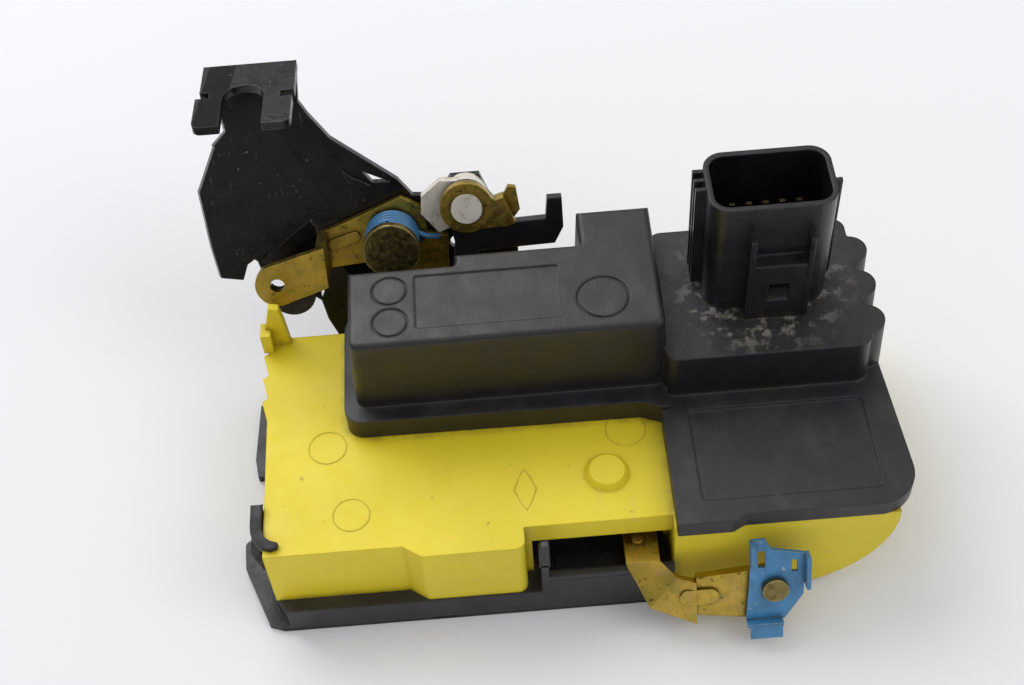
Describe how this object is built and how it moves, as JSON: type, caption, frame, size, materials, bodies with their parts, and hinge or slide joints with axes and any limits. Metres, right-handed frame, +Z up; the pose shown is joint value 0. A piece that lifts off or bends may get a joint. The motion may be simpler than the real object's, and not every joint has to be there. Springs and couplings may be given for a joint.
{
  "type": "car door lock",
  "caption": "Car door lock: moulded housing with actuator and plug socket on a steel face plate, with claw, release levers and a cable bracket.",
  "frame": {"origin": "centre of the front fixing hole, on the underside of the face plate", "axes": "+Z up out of the face plate through the housing, +X along the housing from the striker mouth towards the plug socket, +Y from the outer release lever towards the cable bracket"},
  "size_m": [0.1521, 0.1155, 0.0815],
  "materials": {
    "zinc_steel": "zinc plated",
    "black_steel": "black electro-coat, satin",
    "black_moulding": "fine grained",
    "gloss_black": "smooth",
    "yellow_moulding": "smooth moulded",
    "white_moulding": "smooth moulded",
    "gold_zinc": "yellow chromate",
    "blue_coat": "blue coated",
    "rubber": "moulded",
    "brass": "tinned",
    "nylon": "natural nylon"
  },
  "bodies": {
    "lock_case": {"face_plate": "black_steel", "base_housing": "black_moulding", "actuator_housing": "yellow_moulding", "actuator_cover": "black_moulding", "connector_shroud": "gloss_black", "connector_pins": "brass", "lead_frame": "gloss_black", "striker_lip": "rubber", "cable_bracket": "black_steel", "bracket_rivets": "zinc_steel", "claw_pin": "zinc_steel", "claw_spring": "zinc_steel", "pawl_pin": "zinc_steel", "pawl_spring": "zinc_steel", "outer_lever_pin": "zinc_steel", "inner_lever_pin": "zinc_steel", "inner_lever_spring": "blue_coat", "rocker_bush": "white_moulding", "motor_case": "zinc_steel", "motor_end_cap": "gloss_black", "wheel_axle": "zinc_steel", "slider_rails": "black_moulding", "micro_switches": "gloss_black"},
    "claw": {"claw": "zinc_steel"},
    "pawl": {"pawl": "zinc_steel"},
    "outer_release": {"outer_release_lever": "gold_zinc", "release_finger": "gold_zinc", "rod_clip_pin": "zinc_steel"},
    "rod_clip": {"rod_clip": "blue_coat"},
    "inner_release": {"inner_release_lever": "gold_zinc", "lever_buffer": "rubber"},
    "lock_rocker": {"lock_rocker": "gold_zinc", "lock_arm": "gloss_black"},
    "lock_slider": {"lock_slider": "nylon"},
    "worm_wheel": {"worm_wheel": "nylon"},
    "motor_rotor": {"motor_shaft": "zinc_steel", "worm": "nylon"}
  },
  "joints": [
    {"name": "claw_turn", "type": "hinge", "parent": "lock_case", "child": "claw", "pos_m": [-0.027, 0.01, 0.0048], "axis": [0, 0, -1], "range_deg": [0, 60], "stiffness_Nm_per_rad": 0.08},
    {"name": "pawl_turn", "type": "hinge", "parent": "lock_case", "child": "pawl", "pos_m": [-0.024, 0.041, 0.0048], "axis": [0, 0, 1], "range_deg": [0, 5], "stiffness_Nm_per_rad": 0.05},
    {"name": "outer_release_turn", "type": "hinge", "parent": "lock_case", "child": "outer_release", "pos_m": [0.02, 0.023, 0.017], "axis": [0, 0, -1], "range_deg": [0, 20], "stiffness_Nm_per_rad": 0.15},
    {"name": "rod_clip_swing", "type": "hinge", "parent": "outer_release", "child": "rod_clip", "pos_m": [0.0568, -0.0142, 0.014], "axis": [0, -0.9135, 0.4067], "range_deg": [-30, 30]},
    {"name": "inner_release_turn", "type": "hinge", "parent": "lock_case", "child": "inner_release", "pos_m": [-0.0213, 0.07312, 0.03989], "axis": [0, 0.9135, -0.4067], "range_deg": [0, 20], "stiffness_Nm_per_rad": 0.15},
    {"name": "worm_wheel_turn", "type": "hinge", "parent": "lock_case", "child": "worm_wheel", "pos_m": [0.012, 0.038, 0.0265], "axis": [0, -1, 0], "range_deg": [0, 166]},
    {"name": "lock_slider_travel", "type": "slide", "parent": "lock_case", "child": "lock_slider", "axis": [1, 0, 0], "range_m": [0, 0.0104]},
    {"name": "lock_rocker_turn", "type": "hinge", "parent": "lock_case", "child": "lock_rocker", "pos_m": [-0.0032, 0.07143, 0.04962], "axis": [0, -0.9135, 0.4067], "range_deg": [0, 18]},
    {"name": "motor_turn", "type": "hinge", "parent": "lock_case", "child": "motor_rotor", "pos_m": [0.008, 0.038, 0.0415], "axis": [1, 0, 0], "range_deg": [0, 1990]}
  ],
  "couplings": [
    {"joint": "lock_rocker_turn", "follows": "lock_slider_travel", "rad_per_m": 30.111},
    {"joint": "worm_wheel_turn", "follows": "lock_slider_travel", "rad_per_m": 277.78},
    {"joint": "motor_turn", "follows": "lock_slider_travel", "rad_per_m": 3333.3}
  ]
}
